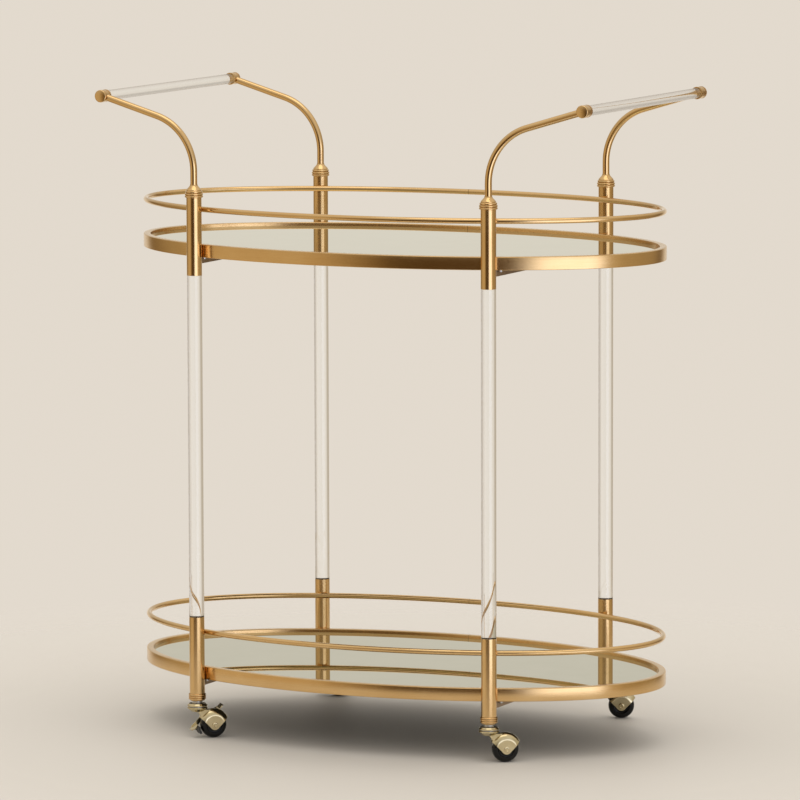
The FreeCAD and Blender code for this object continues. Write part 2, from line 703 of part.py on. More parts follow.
def hood_side_view(name):
    """The hood's outline from the side: a sector that narrows to a round foot at the axle."""
    mouth_x = "(Cart.hood_radius + 2) * cos(Cart.hood_mouth)"
    mouth_z = "(Cart.hood_radius + 2) * sin(Cart.hood_mouth)"
    axle = place(size("Cart.caster_trail"), 0, size("Cart.wheel_radius"))
    sector = padded(name + "_sector", [
        ("-0.72 * Cart.cheek_radius", "-0.69 * Cart.cheek_radius"),
        ("0.72 * Cart.cheek_radius", "-0.69 * Cart.cheek_radius"),
        (mouth_x, mouth_z),
        (mouth_x, "Cart.hood_radius + 2"),
        ("-" + mouth_x, "Cart.hood_radius + 2"),
        ("-" + mouth_x, mouth_z),
    ], "2 * Cart.hood_half_width + 2", axle)
    foot = cylinder(name + "_foot", "Cart.cheek_radius", "2 * Cart.hood_half_width + 2",
                    wheel_axis(-size("Cart.hood_half_width + 1")))
    return fused(name, [sector, foot])


def turning_cup(name):
    """The cup that turns under the top plate."""
    return revolved(name, [
        ("0", "-Cart.cup_height"),
        ("Cart.cup_foot_radius", "-Cart.cup_height"),
        ("Cart.plate_radius - 1", "-Cart.cup_rim"),
        ("Cart.plate_radius - 1", "-Cart.cup_rim + 0.2", "Cart.plate_radius - 1", 1),
        ("Cart.plate_radius - 1", "-0.2"),
        ("Cart.plate_radius - 1.2", "0"),
        ("0", "0"),
    ], place(z=cup_top()))


def caster_hood(corner):
    """The turning part of a caster: cup, slanting horn and hood in one casting."""
    name = corner + "_caster_hood"
    outside = drum(name + "_outside", "Cart.hood_radius", "Cart.hood_half_width", "Cart.hood_shoulder")
    room_size = ("Cart.hood_room_radius", "Cart.hood_room_half_width", "Cart.hood_room_shoulder")
    room = drum(name + "_room", *room_size)
    hood = combined("Common", name + "_crown", outside, hood_side_view(name + "_side_view"))
    horn = padded(name + "_horn", [
        ("-2.5", "Cart.wheel_radius + 22"),
        ("-1", "Cart.wheel_radius + 20.5"),
        ("Cart.caster_trail - 17", "Cart.wheel_radius + 9.3"),
        ("Cart.caster_trail - 12", "Cart.wheel_radius + 12"),
        ("Cart.caster_trail - 5", "Cart.wheel_radius + 22.4"),
    ], "2 * Cart.horn_half_width")
    solid = fused(name + "_casting", [hood, horn, turning_cup(name + "_cup")])
    solid = combined("Cut", name + "_opened", solid, room)
    holes = [swivel_bore(name + "_bore"), axle_hole(name + "_axle_hole")]
    if corner in BRAKED_CASTERS:
        holes.append(cylinder(name + "_pivot_hole", "Cart.pivot_radius",
                              "Cart.hood_half_width - Cart.hood_room_half_width + 0.2",
                              brake_pivot(size("Cart.hood_room_half_width - 0.1"))))
    node(combined("Cut", name, solid, grouped(name + "_holes", holes)), name, caster_place(corner))


def swivel_bore(name):
    """The bore that the swivel pin runs in, with a groove for its bead, up to the cup's top."""
    bead = "Cart.swivel_bore_radius + Cart.pin_bead"
    return revolved(name, [
        ("0", "-0.3"),
        ("Cart.swivel_bore_radius", "-0.3"),
        ("Cart.swivel_bore_radius", "2.1"),
        (bead, "2.5"),
        (bead, "3.7"),
        ("Cart.swivel_bore_radius", "4.1"),
        ("Cart.swivel_bore_radius", "Cart.swivel_pin_length"),
        ("0", "Cart.swivel_pin_length"),
    ], place(z=stem_foot() - size("Cart.swivel_pin_length")))


def axle_hole(name):
    """The hole for the axle through both cheeks."""
    return cylinder(name, "Cart.axle_radius", "4 * Cart.hood_half_width",
                    wheel_axis(-size("2 * Cart.hood_half_width")))


def caster_axle(corner):
    """The riveted axle through both cheeks."""
    name = corner + "_caster_axle"
    head = "(Cart.hood_half_width + Cart.axle_head_height)"
    node(revolved(name, [
        ("0", "0.7 - " + head),
        ("0.4 * Cart.axle_head_radius", "0.7 - " + head),
        ("0.55 * Cart.axle_head_radius", "-" + head),
        ("Cart.axle_head_radius - 0.7", "-" + head),
        ("Cart.axle_head_radius", "0.7 - " + head),
        ("Cart.axle_head_radius", "-Cart.hood_half_width"),
        ("Cart.axle_radius", "-Cart.hood_half_width"),
        ("Cart.axle_radius", "Cart.hood_half_width"),
        ("Cart.axle_head_radius", "Cart.hood_half_width"),
        ("Cart.axle_head_radius", head + " - 0.7"),
        ("Cart.axle_head_radius - 0.7", head),
        ("0.55 * Cart.axle_head_radius", head),
        ("0.4 * Cart.axle_head_radius", head + " - 0.7"),
        ("0", head + " - 0.7"),
    ]), name, caster_place(corner).multiply(wheel_axis()))


def caster_wheel(corner):
    """The moulded wheel with dished sides, in running fit on its axle."""
    name = corner + "_caster_wheel"
    half, dish = "Cart.wheel_half_width", "Cart.wheel_dish"
    shoulder = "Cart.wheel_radius - Cart.wheel_shoulder"
    node(revolved(name, [
        ("Cart.wheel_bore_radius", "-" + half),
        ("Cart.wheel_hub_radius", "-" + half),
        ("Cart.wheel_hub_radius + 1", f"{dish} - {half}"),
        ("Cart.wheel_web_radius - 1", f"{dish} - {half}"),
        ("Cart.wheel_web_radius", "-" + half),
        (shoulder, "-" + half, shoulder, 1),
        ("Cart.wheel_radius", f"Cart.wheel_shoulder - {half}"),
        ("Cart.wheel_radius", f"{half} - Cart.wheel_shoulder", shoulder, 1),
        (shoulder, half),
        ("Cart.wheel_web_radius", half),
        ("Cart.wheel_web_radius - 1", f"{half} - {dish}"),
        ("Cart.wheel_hub_radius + 1", f"{half} - {dish}"),
        ("Cart.wheel_hub_radius", half),
        ("Cart.wheel_bore_radius", half),
    ]), name, caster_place(corner).multiply(wheel_axis()))


# ---------------------------------------------------------------- brakes

def brake_pivot(y):
    """A placement along Y on the brake's pivot, from the given y."""
    x = size("Cart.caster_trail - Cart.pivot_left")
    return along_y(x, y, size("Cart.wheel_radius + Cart.pivot_rise"))


def lever_side():
    """The lever plate's near and far faces, outside the cheek."""
    near = size("Cart.hood_half_width + Cart.lever_gap")
    return near, near + size("Cart.lever_plate")


def from_axle(angle, reach):
    """A point round the axle, as (x, z) in the caster's frame."""
    turn = math.radians(angle)
    x = size("Cart.caster_trail") + reach * math.cos(turn)
    return x, size("Cart.wheel_radius") + reach * math.sin(turn)


def bar_between(name, first, last, width, near, far):
    """A round-ended bar of sheet from one (x, z) point to another, between two faces along Y."""
    direction = FreeCAD.Vector(last[0] - first[0], 0, last[1] - first[1])
    length = direction.Length
    angle = math.degrees(math.atan2(direction.z, direction.x))
    box = DOCUMENT.addObject("Part::Box", name + "_bar")
    box.Length = length
    box.Width = far - near
    bind(box, Height=width)
    half = size(width) / 2
    turn = FreeCAD.Rotation(FreeCAD.Vector(0, 1, 0), -angle)
    corner = FreeCAD.Vector(first[0], near, first[1]) + turn.multVec(FreeCAD.Vector(0, 0, -half))
    box.Placement = FreeCAD.Placement(corner, turn)
    ends = []
    for number, point in enumerate((first, last)):
        lying = along_y(point[0], near, point[1])
        ends.append(cylinder(f"{name}_end_{number}", width + " / 2", "Cart.lever_plate", lying))
    return [box] + ends


def tilted_plate(name, centre, angle, length, corner):
    """A plate of lever sheet across the wheel, centred on (x, z), turned by an angle, with round free corners."""
    plate = DOCUMENT.addObject("Part::Box", name + "_blank")
    bind(plate, Length=length, Width="Cart.tab_span", Height="Cart.lever_plate")
    DOCUMENT.recompute()
    radius = size(corner)
    rounded = DOCUMENT.addObject("Part::Fillet", name)
    rounded.Base = plate
    rounded.Edges = [
        (index, radius, radius)
        for index, edge in enumerate(plate.Shape.Edges, start=1)
        if edge.BoundBox.YMax < 0.01 and edge.BoundBox.XLength < 0.01
    ]
    near = lever_side()[1] - size("Cart.tab_span")
    turn = FreeCAD.Rotation(FreeCAD.Vector(0, 1, 0), -angle)
    offset = turn.multVec(FreeCAD.Vector(-size(length) / 2, 0, 0))
    rounded.Placement = FreeCAD.Placement(FreeCAD.Vector(centre[0], near, centre[1]) + offset, turn)
    return rounded


def brake_lever(corner):
    """The see-saw lever: a side arm on its pivot, a release pad over the hood and a locking tab behind."""
    name = corner + "_brake_lever"
    near, far = lever_side()
    pivot = (size("Cart.caster_trail - Cart.pivot_left"), size("Cart.wheel_radius + Cart.pivot_rise"))
    pad_foot = from_axle(size("Cart.pad_turn"), size("Cart.pad_root"))
    pad_middle = from_axle(size("Cart.pad_turn"), size("Cart.pad_reach"))
    tab_middle = from_axle(size("Cart.tab_turn"), size("Cart.tab_reach"))
    shoe_middle = from_axle(size("(Cart.shoe_first + Cart.shoe_last) / 2"),
                            size("(Cart.shoe_inner + Cart.shoe_outer) / 2"))
    pieces = bar_between(name + "_upper", pivot, pad_foot, "Cart.lever_width", near, far)
    pieces += bar_between(name + "_lower", pivot, tab_middle, "Cart.lever_width", near, far)
    pieces += bar_between(name + "_shoe_arm", tab_middle, shoe_middle, "0.75 * Cart.lever_width", near, far)
    for part, middle in (("pad", pad_middle), ("tab", tab_middle)):
        slope = size(f"Cart.{part}_slope")
        pieces.append(tilted_plate(f"{name}_{part}", middle, slope, f"Cart.{part}_length", f"Cart.{part}_corner"))
    lever = fused(name + "_sheet", pieces)
    bore = cylinder(name + "_bore", "Cart.pivot_bore_radius", "Cart.lever_plate", brake_pivot(near))
    node(combined("Cut", name, lever, bore), name, caster_place(corner))


def brake_shoe(corner):
    """The curved block that the lever presses on the tread."""
    name = corner + "_brake_shoe"
    near = lever_side()[0]
    span = "Cart.wheel_half_width + Cart.hood_half_width + Cart.lever_gap"
    start = wheel_axis(near - size(span))
    outer = cylinder(name + "_outer", "Cart.shoe_outer", span, start)
    inner = cylinder(name + "_inner", "Cart.shoe_inner", span, start)
    bind(outer, Angle="Cart.shoe_last - Cart.shoe_first")
    turn = FreeCAD.Rotation(FreeCAD.Vector(0, 1, 0), -size("Cart.shoe_last"))
    outer.Placement = FreeCAD.Placement(start.Base, turn.multiply(start.Rotation))
    node(combined("Cut", name, outer, inner), name, caster_place(corner))


def brake_pin(corner):
    """The headed pin that the brake lever turns on, riveted in the cheek."""
    name = corner + "_brake_pin"
    head = "(Cart.hood_half_width + 2 * Cart.lever_gap + Cart.lever_plate)"
    start = "Cart.hood_room_half_width"
    node(revolved(name, [
        ("0", start),
        ("Cart.pivot_radius", start),
        ("Cart.pivot_radius", head),
        ("Cart.pivot_radius + 1.4", head),
        ("Cart.pivot_radius + 1.4", head + " + 0.8"),
        ("Cart.pivot_radius + 0.7", head + " + 1.3"),
        ("0", head + " + 1.3"),
    ]), name, caster_place(corner).multiply(brake_pivot(0)))


# ---------------------------------------------------------------- assembly

def build_posts(studs):
    """Sleeves, clear posts, collars and sockets of the four posts."""
    upper_foot = size("Cart.upper_sleeve_top - Cart.sleeve_length")
    for corner in CORNERS:
        sleeve(corner, "upper", upper_foot, studs)
        acrylic_post(corner)
        sleeve(corner, "lower", size("Cart.lower_sleeve_foot"), studs)
    node(grouped("top_collars", [top_collar(corner) for corner in CORNERS]), "top_collars")
    node(grouped("bottom_collars", [bottom_collar(corner) for corner in CORNERS]), "bottom_collars")
    node(grouped("stem_sockets", [stem_socket(corner) for corner in CORNERS]), "stem_sockets")


def build_trays():
    """Rings, floors, rails and crossbars of both trays, with their studs and screws."""
    all_studs, all_screws = [], []
    for tier in TIERS:
        ring_studs = stud_row(tier + "_ring_stud", size(f"Cart.{tier}_tray_top - Cart.band_height / 2"))
        rail_studs = stud_row(tier + "_rail_stud", size(f"Cart.{tier}_tray_top + Cart.rail_rise"))
        screws = screw_row(tier)
        tray_frame(tier, grouped(tier + "_ring_studs", ring_studs), grouped(tier + "_screws", screws))
        tray_floor(tier)
        gallery_rail(tier, grouped(tier + "_rail_studs", rail_studs))
        for side in SIDES:
            crossbar(tier, side)
        all_studs += ring_studs + rail_studs
        all_screws += screws
    node(grouped("tray_screws", all_screws), "tray_screws")
    return node(grouped("post_studs", all_studs), "post_studs")


def build_handles():
    """Arms, caps and push bars."""
    for corner in CORNERS:
        handle_arm(corner)
        handle_cap(corner)
    for side in SIDES:
        handle_bar(side)


def build_casters():
    """Stems and plates fixed under the posts, then the turning hoods, wheels and brakes."""
    node(grouped("caster_stems", [caster_stem(corner) for corner in CORNERS]), "caster_stems")
    plates = [caster_top_plate(corner) for corner in CORNERS]
    node(grouped("caster_top_plates", plates), "caster_top_plates")
    node(grouped("swivel_washers", [swivel_washer(corner) for corner in CORNERS]), "swivel_washers")
    for corner in CORNERS:
        caster_hood(corner)
        caster_axle(corner)
        caster_wheel(corner)
    for corner in BRAKED_CASTERS:
        brake_lever(corner)
        brake_shoe(corner)
        brake_pin(corner)


def check_document():
    """Stops on any feature that failed, and on any sub-part with no valid shape."""
    for feature in DOCUMENT.Objects:
        if "Invalid" in feature.State or "Error" in feature.State:
            raise RuntimeError(f"{feature.Label} failed: {feature.State}")
    for feature in NODES:
        if feature.Shape.isNull() or not feature.Shape.isValid() or not feature.Shape.Solids:
            raise RuntimeError(f"{feature.Label} has no valid solid")


def write_parts():
    """Writes one STEP file for each sub-part."""
    os.makedirs("parts", exist_ok=True)
    for feature in NODES:
        feature.Shape.exportStep(os.path.join("parts", feature.Label + ".step"))
        volume = feature.Shape.Volume / 1000
        print(f"{feature.Label}: {len(feature.Shape.Solids)} solid(s), {volume:.2f} cm3")


fill_sheet()
build_posts(build_trays())
build_handles()
build_casters()
DOCUMENT.recompute()
check_document()
write_parts()
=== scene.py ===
"""Looks of the oval bar cart: brushed gold rings and posts, clear rods, mirrored trays and small hooded casters.

Metres, in the same frame as the CAD: origin on the floor under the middle of the cart, X along the trays, Z up.
"""
import json
import math

import bmesh
import bpy
from mathutils import Matrix, Vector

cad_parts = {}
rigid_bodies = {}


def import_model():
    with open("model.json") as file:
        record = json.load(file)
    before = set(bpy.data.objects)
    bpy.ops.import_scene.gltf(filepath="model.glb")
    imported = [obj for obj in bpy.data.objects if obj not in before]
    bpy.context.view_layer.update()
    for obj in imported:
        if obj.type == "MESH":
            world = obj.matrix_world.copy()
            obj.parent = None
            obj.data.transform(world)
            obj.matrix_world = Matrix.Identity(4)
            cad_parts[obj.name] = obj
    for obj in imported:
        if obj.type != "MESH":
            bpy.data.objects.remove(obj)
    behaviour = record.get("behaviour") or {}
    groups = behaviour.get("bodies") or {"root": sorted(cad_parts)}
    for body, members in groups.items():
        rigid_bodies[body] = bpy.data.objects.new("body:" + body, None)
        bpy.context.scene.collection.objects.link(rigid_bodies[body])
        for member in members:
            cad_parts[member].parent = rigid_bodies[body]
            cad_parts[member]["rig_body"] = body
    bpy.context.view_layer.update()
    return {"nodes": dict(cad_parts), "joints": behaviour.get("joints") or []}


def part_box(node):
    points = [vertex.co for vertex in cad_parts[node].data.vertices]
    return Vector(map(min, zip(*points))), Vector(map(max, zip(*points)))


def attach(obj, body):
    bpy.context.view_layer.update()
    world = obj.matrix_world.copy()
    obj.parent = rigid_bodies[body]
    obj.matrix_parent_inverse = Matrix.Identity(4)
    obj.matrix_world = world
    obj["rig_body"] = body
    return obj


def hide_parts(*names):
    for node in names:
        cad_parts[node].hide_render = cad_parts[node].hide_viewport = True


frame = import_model()

MM = 0.001
FULL_TURN = 2 * math.pi
CORNERS = ("front_left", "front_right", "back_left", "back_right")
TIERS = ("upper", "lower")
SIDES = ("left", "right")
BRAKED = ("front_left", "back_left")

# How round and how crisp the pieces are.
ROUND_STEPS = 96
RIVET_STEPS = 48
CREASE = math.radians(32)

# The brushed grain: how short the way of the brush is, and the circle that stands for the way round a piece.
GRAIN_STRETCH = 1 / 40
GRAIN_HOOP = 1 * MM

# Trays.
RING_WIDTH = 10 * MM
RING_CORNER = 1.1 * MM
JOINT_HALF_WIDTH = 0.28 * MM
SCREW_OFFSET = 9 * MM
SCREW_HEAD_RADIUS = 2.8 * MM
SCREW_HEAD_HEIGHT = 2.4 * MM

# Posts.
TUBE_RADIUS = 11 * MM
TUBE_BORE = 9.5 * MM
CLEAR_ROD_RADIUS = 10.8 * MM
SPIGOT_LENGTH = 30 * MM

# Push handles.
ARM_SLOPE = math.radians(16.5)
ARM_BEND = 82 * MM
ARM_END_FROM_CAP = 8 * MM
CAP_HALF_LENGTH = 9 * MM
PUSH_BAR_RADIUS = 7.5 * MM

# Casters, in millimetres as their outlines are.
STEM_TOP = 22.3
STEM_RADIUS = 4

# Stage: the floor is whole out to one distance and has faded away by the other.
FLOOR_REACH = 1.4
FLOOR_WHOLE = 0.65
FLOOR_GONE = 1.3


# ---------------------------------------------------------------- node expressions

class Level:
    """A number that varies over a surface or a path: arithmetic on it adds Math nodes."""

    def __init__(self, nodes, socket):
        self.nodes = nodes
        self.socket = socket

    def __add__(self, other):
        return self.nodes.maths("ADD", self, other)

    __radd__ = __add__

    def __sub__(self, other):
        return self.nodes.maths("SUBTRACT", self, other)

    def __rsub__(self, other):
        return self.nodes.maths("SUBTRACT", other, self)

    def __mul__(self, other):
        return self.nodes.maths("MULTIPLY", self, other)

    __rmul__ = __mul__

    def __pow__(self, other):
        return self.nodes.maths("POWER", self, other)

    def __abs__(self):
        return self.nodes.maths("ABSOLUTE", self)

    def __lt__(self, other):
        return self.nodes.maths("LESS_THAN", self, other)

    def __gt__(self, other):
        return self.nodes.maths("GREATER_THAN", self, other)

    def spread(self, low, high):
        """0 at low, 1 at high, and straight between them."""
        values = {"Value": self, "From Min": low, "From Max": high}
        return self.nodes.level("ShaderNodeMapRange", {"clamp": True}, values, "Result")


class Nodes:
    """A node tree whose nodes all come from one method."""

    def __init__(self, tree):
        self.tree = tree

    def add(self, kind, settings, values):
        """Adds a node: first its settings, then the values or links of its sockets."""
        node = self.tree.nodes.new(kind)
        for name, setting in settings.items():
            if name == "stops":
                set_stops(node.color_ramp, setting)
            else:
                setattr(node, name, setting)
        for name, value in values.items():
            socket = node.inputs[name]
            if isinstance(value, Level):
                value = value.socket
            if isinstance(value, bpy.types.NodeSocket):
                self.tree.links.new(value, socket)
            else:
                socket.default_value = value
        return node

    def level(self, kind, settings, values, output):
        """A node's output as a number that arithmetic works on."""
        return Level(self, self.add(kind, settings, values).outputs[output])

    def maths(self, operation, *values):
        """One Math node."""
        return self.level("ShaderNodeMath", {"operation": operation}, dict(enumerate(values)), "Value")

    def part(self, vector, letter):
        """One number of a vector."""
        return self.level("ShaderNodeSeparateXYZ", {}, {"Vector": vector}, letter)


def set_stops(ramp, stops):
    """Sets a ramp's stops, each a place and a colour, with soft passages between them."""
    ramp.interpolation = "EASE"
    while len(ramp.elements) < len(stops):
        ramp.elements.new(0.5)
    for element, (place, colour) in zip(ramp.elements, stops):
        element.position = place
        element.color = (*colour, 1)


class Board(Nodes):
    """The node board of one finish, or of the studio's surroundings."""

    MIX_FACTOR, MIX_FIRST, MIX_SECOND, MIX_RESULT = 0, 6, 7, 2

    def __init__(self, owner):
        owner.use_nodes = True
        super().__init__(owner.node_tree)
        self.owner = owner
        self.tree.nodes.clear()

    def place(self, stretch=(1, 1, 1)):
        """The place on the piece, stretched along the axes."""
        values = {0: self.add("ShaderNodeTexCoord", {}, {}).outputs["Object"], 1: stretch}
        return self.add("ShaderNodeVectorMath", {"operation": "MULTIPLY"}, values).outputs["Vector"]

    def axis(self, letter):
        """One coordinate of the place on the piece."""
        return self.part(self.place(), letter)

    def grain(self):
        """The place in the brushed finish's own space, where the way of the brush is short."""
        return self.add("ShaderNodeAttribute", {"attribute_name": "grain"}, {}).outputs["Vector"]

    def noise(self, where, scale, detail, roughness=0.5):
        """Soft random variation around a half."""
        values = {"Vector": where, "Scale": scale, "Detail": detail, "Roughness": roughness}
        return self.level("ShaderNodeTexNoise", {}, values, "Fac")

    def mix(self, factor, first, second):
        """A colour between two colours, each a socket or (red, green, blue)."""
        first, second = ((*tone, 1) if isinstance(tone, tuple) else tone for tone in (first, second))
        values = {self.MIX_FACTOR: factor, self.MIX_FIRST: first, self.MIX_SECOND: second}
        return self.add("ShaderNodeMix", {"data_type": "RGBA"}, values).outputs[self.MIX_RESULT]

    def bump(self, height, distance):
        """A normal that follows a height, in metres of relief."""
        values = {"Height": height, "Distance": distance, "Strength": 1.0}
        return self.add("ShaderNodeBump", {}, values).outputs["Normal"]

    def finish(self, **values):
        """Ends the board in one principled surface."""
        sockets = {name.replace("_", " "): value for name, value in values.items()}
        surface = self.add("ShaderNodeBsdfPrincipled", {}, sockets)
        self.add("ShaderNodeOutputMaterial", {}, {"Surface": surface.outputs["BSDF"]})
        return self.owner


def finish_board(name):
    """The empty board of a new finish."""
    return Board(bpy.data.materials.new(name))


# ---------------------------------------------------------------- finishes

def satin_gold(name, sheen=0.15, joint_line=False):
    """Brushed gold plate: fine lines along the brush, slow changes of tone and faint handling marks."""
    board = finish_board(name)
    grain = board.grain()
    lines = board.noise(grain, scale=5200, detail=3.0, roughness=0.65)
    bands = board.noise(grain, scale=900, detail=2.0)
    cloud = board.noise(board.place(), scale=14, detail=3.0, roughness=0.55)
    smudge = board.noise(board.place(), scale=45, detail=4.0, roughness=0.6).spread(0.56, 0.74)
    deep, pale, glint, seam = (0.67, 0.435, 0.19), (0.74, 0.51, 0.25), (0.86, 0.66, 0.38), (0.16, 0.085, 0.03)
    tone = board.mix((cloud * 0.6 + bands * 0.4).spread(0.35, 0.65), deep, pale)
    tone = board.mix(lines.spread(0.62, 0.85) * 0.3, tone, glint)
    rough = sheen + lines * 0.06 + smudge * 0.04
    relief = lines * 0.7 + bands * 0.3
    if joint_line:
        line = (abs(board.axis("X")) < JOINT_HALF_WIDTH) * (board.axis("Y") > 0)
        tone = board.mix(line, tone, seam)
        rough = rough + line * 0.3
        relief = relief - line * 4.0
    return board.finish(Base_Color=tone, Metallic=1.0, Roughness=rough, Normal=board.bump(relief, 0.03 * MM))


def polished_gold():
    """Pale polished gold plate of the small castings, with fine rub marks."""
    board = finish_board("polished_gold")
    rubs = board.noise(board.place((1, 1, 9)), scale=420, detail=3.0, roughness=0.6)
    cloud = board.noise(board.place(), scale=60, detail=3.0)
    tone = board.mix(cloud.spread(0.35, 0.7), (0.56, 0.47, 0.275), (0.68, 0.585, 0.37))
    rough = 0.10 + rubs.spread(0.45, 0.8) * 0.10 + cloud * 0.03
    return board.finish(Base_Color=tone, Metallic=1.0, Roughness=rough, Normal=board.bump(rubs, 0.02 * MM))


def clear_acrylic():
    """Polished clear acrylic with the faintest dull draw lines, and a painted shade: its colour darkens where it
    is seen edge on.
    """
    board = finish_board("clear_acrylic")
    draw = board.noise(board.grain(), scale=1500, detail=2.0)
    # Painted shade: the base colour turns dark brown towards the edges the rod is seen on.
    edge = board.level("ShaderNodeLayerWeight", {}, {"Blend": 0.5}, "Facing").spread(0.55, 0.86)
    tone = board.mix(edge, (0.985, 0.98, 0.97), (0.42, 0.34, 0.30))
    rough = 0.004 + draw.spread(0.5, 0.8) * 0.02
    return board.finish(Base_Color=tone, Metallic=0.0, Roughness=rough, IOR=1.49, Transmission_Weight=1.0)


def mirror_glass():
    """Mirror glass with a warm green tint and a dusting that dulls it here and there."""
    board = finish_board("mirror_glass")
    dust = board.noise(board.place(), scale=22, detail=4.0, roughness=0.6)
    specks = board.noise(board.place(), scale=900, detail=1.0).spread(0.74, 0.80)
    tone = board.mix(dust.spread(0.3, 0.7), (0.61, 0.615, 0.485), (0.64, 0.64, 0.515))
    rough = 0.006 + dust.spread(0.45, 0.75) * 0.02 + specks * 0.15
    return board.finish(Base_Color=tone, Metallic=1.0, Roughness=rough)


def backing_board():
    """Dark painted board with a fine fibre texture."""
    board = finish_board("backing_board")
    fibre = board.noise(board.place((1, 4, 1)), scale=700, detail=4.0, roughness=0.7)
    patch = board.noise(board.place(), scale=9, detail=3.0)
    tone = board.mix(fibre.spread(0.3, 0.75), (0.020, 0.017, 0.014), (0.060, 0.050, 0.042))
    return board.finish(Base_Color=tone, Roughness=0.55 + patch * 0.2, Normal=board.bump(fibre, 0.12 * MM))


def bright_steel():
    """Zinc-plated steel of stems, washers and screws."""
    board = finish_board("bright_steel")
    lines = board.noise(board.grain(), scale=3000, detail=2.0, roughness=0.6)
    cloud = board.noise(board.place(), scale=260, detail=3.0)
    tone = board.mix(cloud.spread(0.3, 0.7), (0.42, 0.42, 0.41), (0.62, 0.61, 0.58))
    rough = 0.22 + lines * 0.14
    return board.finish(Base_Color=tone, Metallic=1.0, Roughness=rough, Normal=board.bump(lines, 0.02 * MM))


def wheel_black():
    """Glossy black moulded wheel, with faint scuffs on the tread."""
    board = finish_board("wheel_black")
    scuff = board.noise(board.place(), scale=130, detail=4.0, roughness=0.6)
    tone = board.mix(scuff.spread(0.55, 0.85), (0.003, 0.003, 0.003), (0.012, 0.011, 0.010))
    rough = 0.13 + scuff.spread(0.5, 0.8) * 0.15
    return board.finish(Base_Color=tone, Roughness=rough, Specular_IOR_Level=0.3,
                        Normal=board.bump(scuff, 0.02 * MM))


def dark_bronze():
    """Satin metal of the bars under the trays, with a faint orange peel; its dark bronze tone is painted shade,
    for the shade under the trays.
    """
    board = finish_board("dark_bronze")
    peel = board.noise(board.place(), scale=600, detail=2.0)
    wear = board.noise(board.place(), scale=70, detail=4.0, roughness=0.6)
    # Painted shade: both tones are dark so that the bars look shaded; the wear noise varies between them at
    # random.
    tone = board.mix(wear.spread(0.35, 0.7), (0.30, 0.205, 0.125), (0.38, 0.265, 0.165))
    rough = 0.30 + wear * 0.12
    return board.finish(Base_Color=tone, Metallic=0.8, Roughness=rough, Normal=board.bump(peel, 0.03 * MM))


def matte_black():
    """Matte black moulded plastic."""
    board = finish_board("matte_black")
    pores = board.noise(board.place(), scale=1800, detail=3.0, roughness=0.6)
    tone = board.mix(pores.spread(0.3, 0.7), (0.014, 0.014, 0.015), (0.032, 0.031, 0.030))
    return board.finish(Base_Color=tone, Roughness=0.5 + pores * 0.15, Normal=board.bump(pores, 0.05 * MM))


def pale_floor():
    """Plain pale studio floor, which runs out into the pale wall."""
    board = finish_board("pale_floor")
    cloud = board.noise(board.place(), scale=0.7, detail=3.0)
    tone = board.mix(cloud, (0.665, 0.642, 0.608), (0.68, 0.657, 0.623))
    away = (board.axis("X") ** 2 + board.axis("Y") ** 2) ** 0.5
    whole = 1 - away.spread(FLOOR_WHOLE, FLOOR_GONE)
    return board.finish(Base_Color=tone, Roughness=0.55 + cloud * 0.05, Alpha=whole)


# ---------------------------------------------------------------- pieces from turned outlines

def arc(radius, height, reach, first, last, steps):
    """Points of an arc in an outline, between two directions in degrees."""
    turns = [math.radians(first + (last - first) * step / steps) for step in range(steps + 1)]
    return [(radius + reach * math.cos(turn), height + reach * math.sin(turn)) for turn in turns]


def scaled(outline):
    """An outline drawn in millimetres, in metres."""
    return [(radius * MM, height * MM) for radius, height in outline]


def with_mirrored(half):
    """An outline drawn down to its middle plane, with its other half added."""
    return half + [(radius, -height) for radius, height in reversed(half)]


class Blank:
    """Collects the surfaces of one piece, each with its brushed grain."""

    def __init__(self):
        self.points = []
        self.faces = []
        self.grain = []

    def turned(self, outline, place, closed=False, lengthwise=False, steps=ROUND_STEPS):
        """Adds an outline of (radius, height) points turned about Z, then put in its place."""
        rings = []
        run = 0.0
        last = outline[0]
        for radius, height in outline:
            run += math.hypot(radius - last[0], height - last[1])
            last = (radius, height)
            rings.append(self.ring(radius, height, run, place, lengthwise, steps))
        pairs = list(zip(rings, rings[1:]))
        if closed:
            pairs.append((rings[-1], rings[0]))
        for lower, upper in pairs:
            self.join(lower, upper, steps)
        return self

    def ring(self, radius, height, run, place, lengthwise, steps):
        """The points of one turn of the outline, or its single point on the axis."""
        ring = []
        for step in range(steps if radius > 0 else 1):
            turn = FULL_TURN * step / steps
            x, y = radius * math.cos(turn), radius * math.sin(turn)
            ring.append(len(self.points))
            self.points.append(place @ Vector((x, y, height)))
            if lengthwise:
                self.grain.append((x, y, height * GRAIN_STRETCH))
            else:
                self.grain.append((GRAIN_HOOP * math.cos(turn), GRAIN_HOOP * math.sin(turn), run))
        return ring

    def join(self, lower, upper, steps):
        """Faces between two rings of an outline, either of which may be a single point."""
        if len(lower) == 1 and len(upper) == 1:
            return
        for step in range(steps):
            after = (step + 1) % steps
            if len(lower) == 1:
                self.faces.append((lower[0], upper[after], upper[step]))
            elif len(upper) == 1:
                self.faces.append((lower[step], lower[after], upper[0]))
            else:
                self.faces.append((lower[step], lower[after], upper[after], upper[step]))

    def piece(self, name, finish, soft_edge=0.0):
        """The finished object, smooth with crisp or softened edges."""
        mesh = bpy.data.meshes.new(name)
        mesh.from_pydata(self.points, [], self.faces)
        grain = mesh.attributes.new("grain", "FLOAT_VECTOR", "POINT")
        grain.data.foreach_set("vector", [part for point in self.grain for part in point])
        return shown(name, mesh, finish, soft_edge)


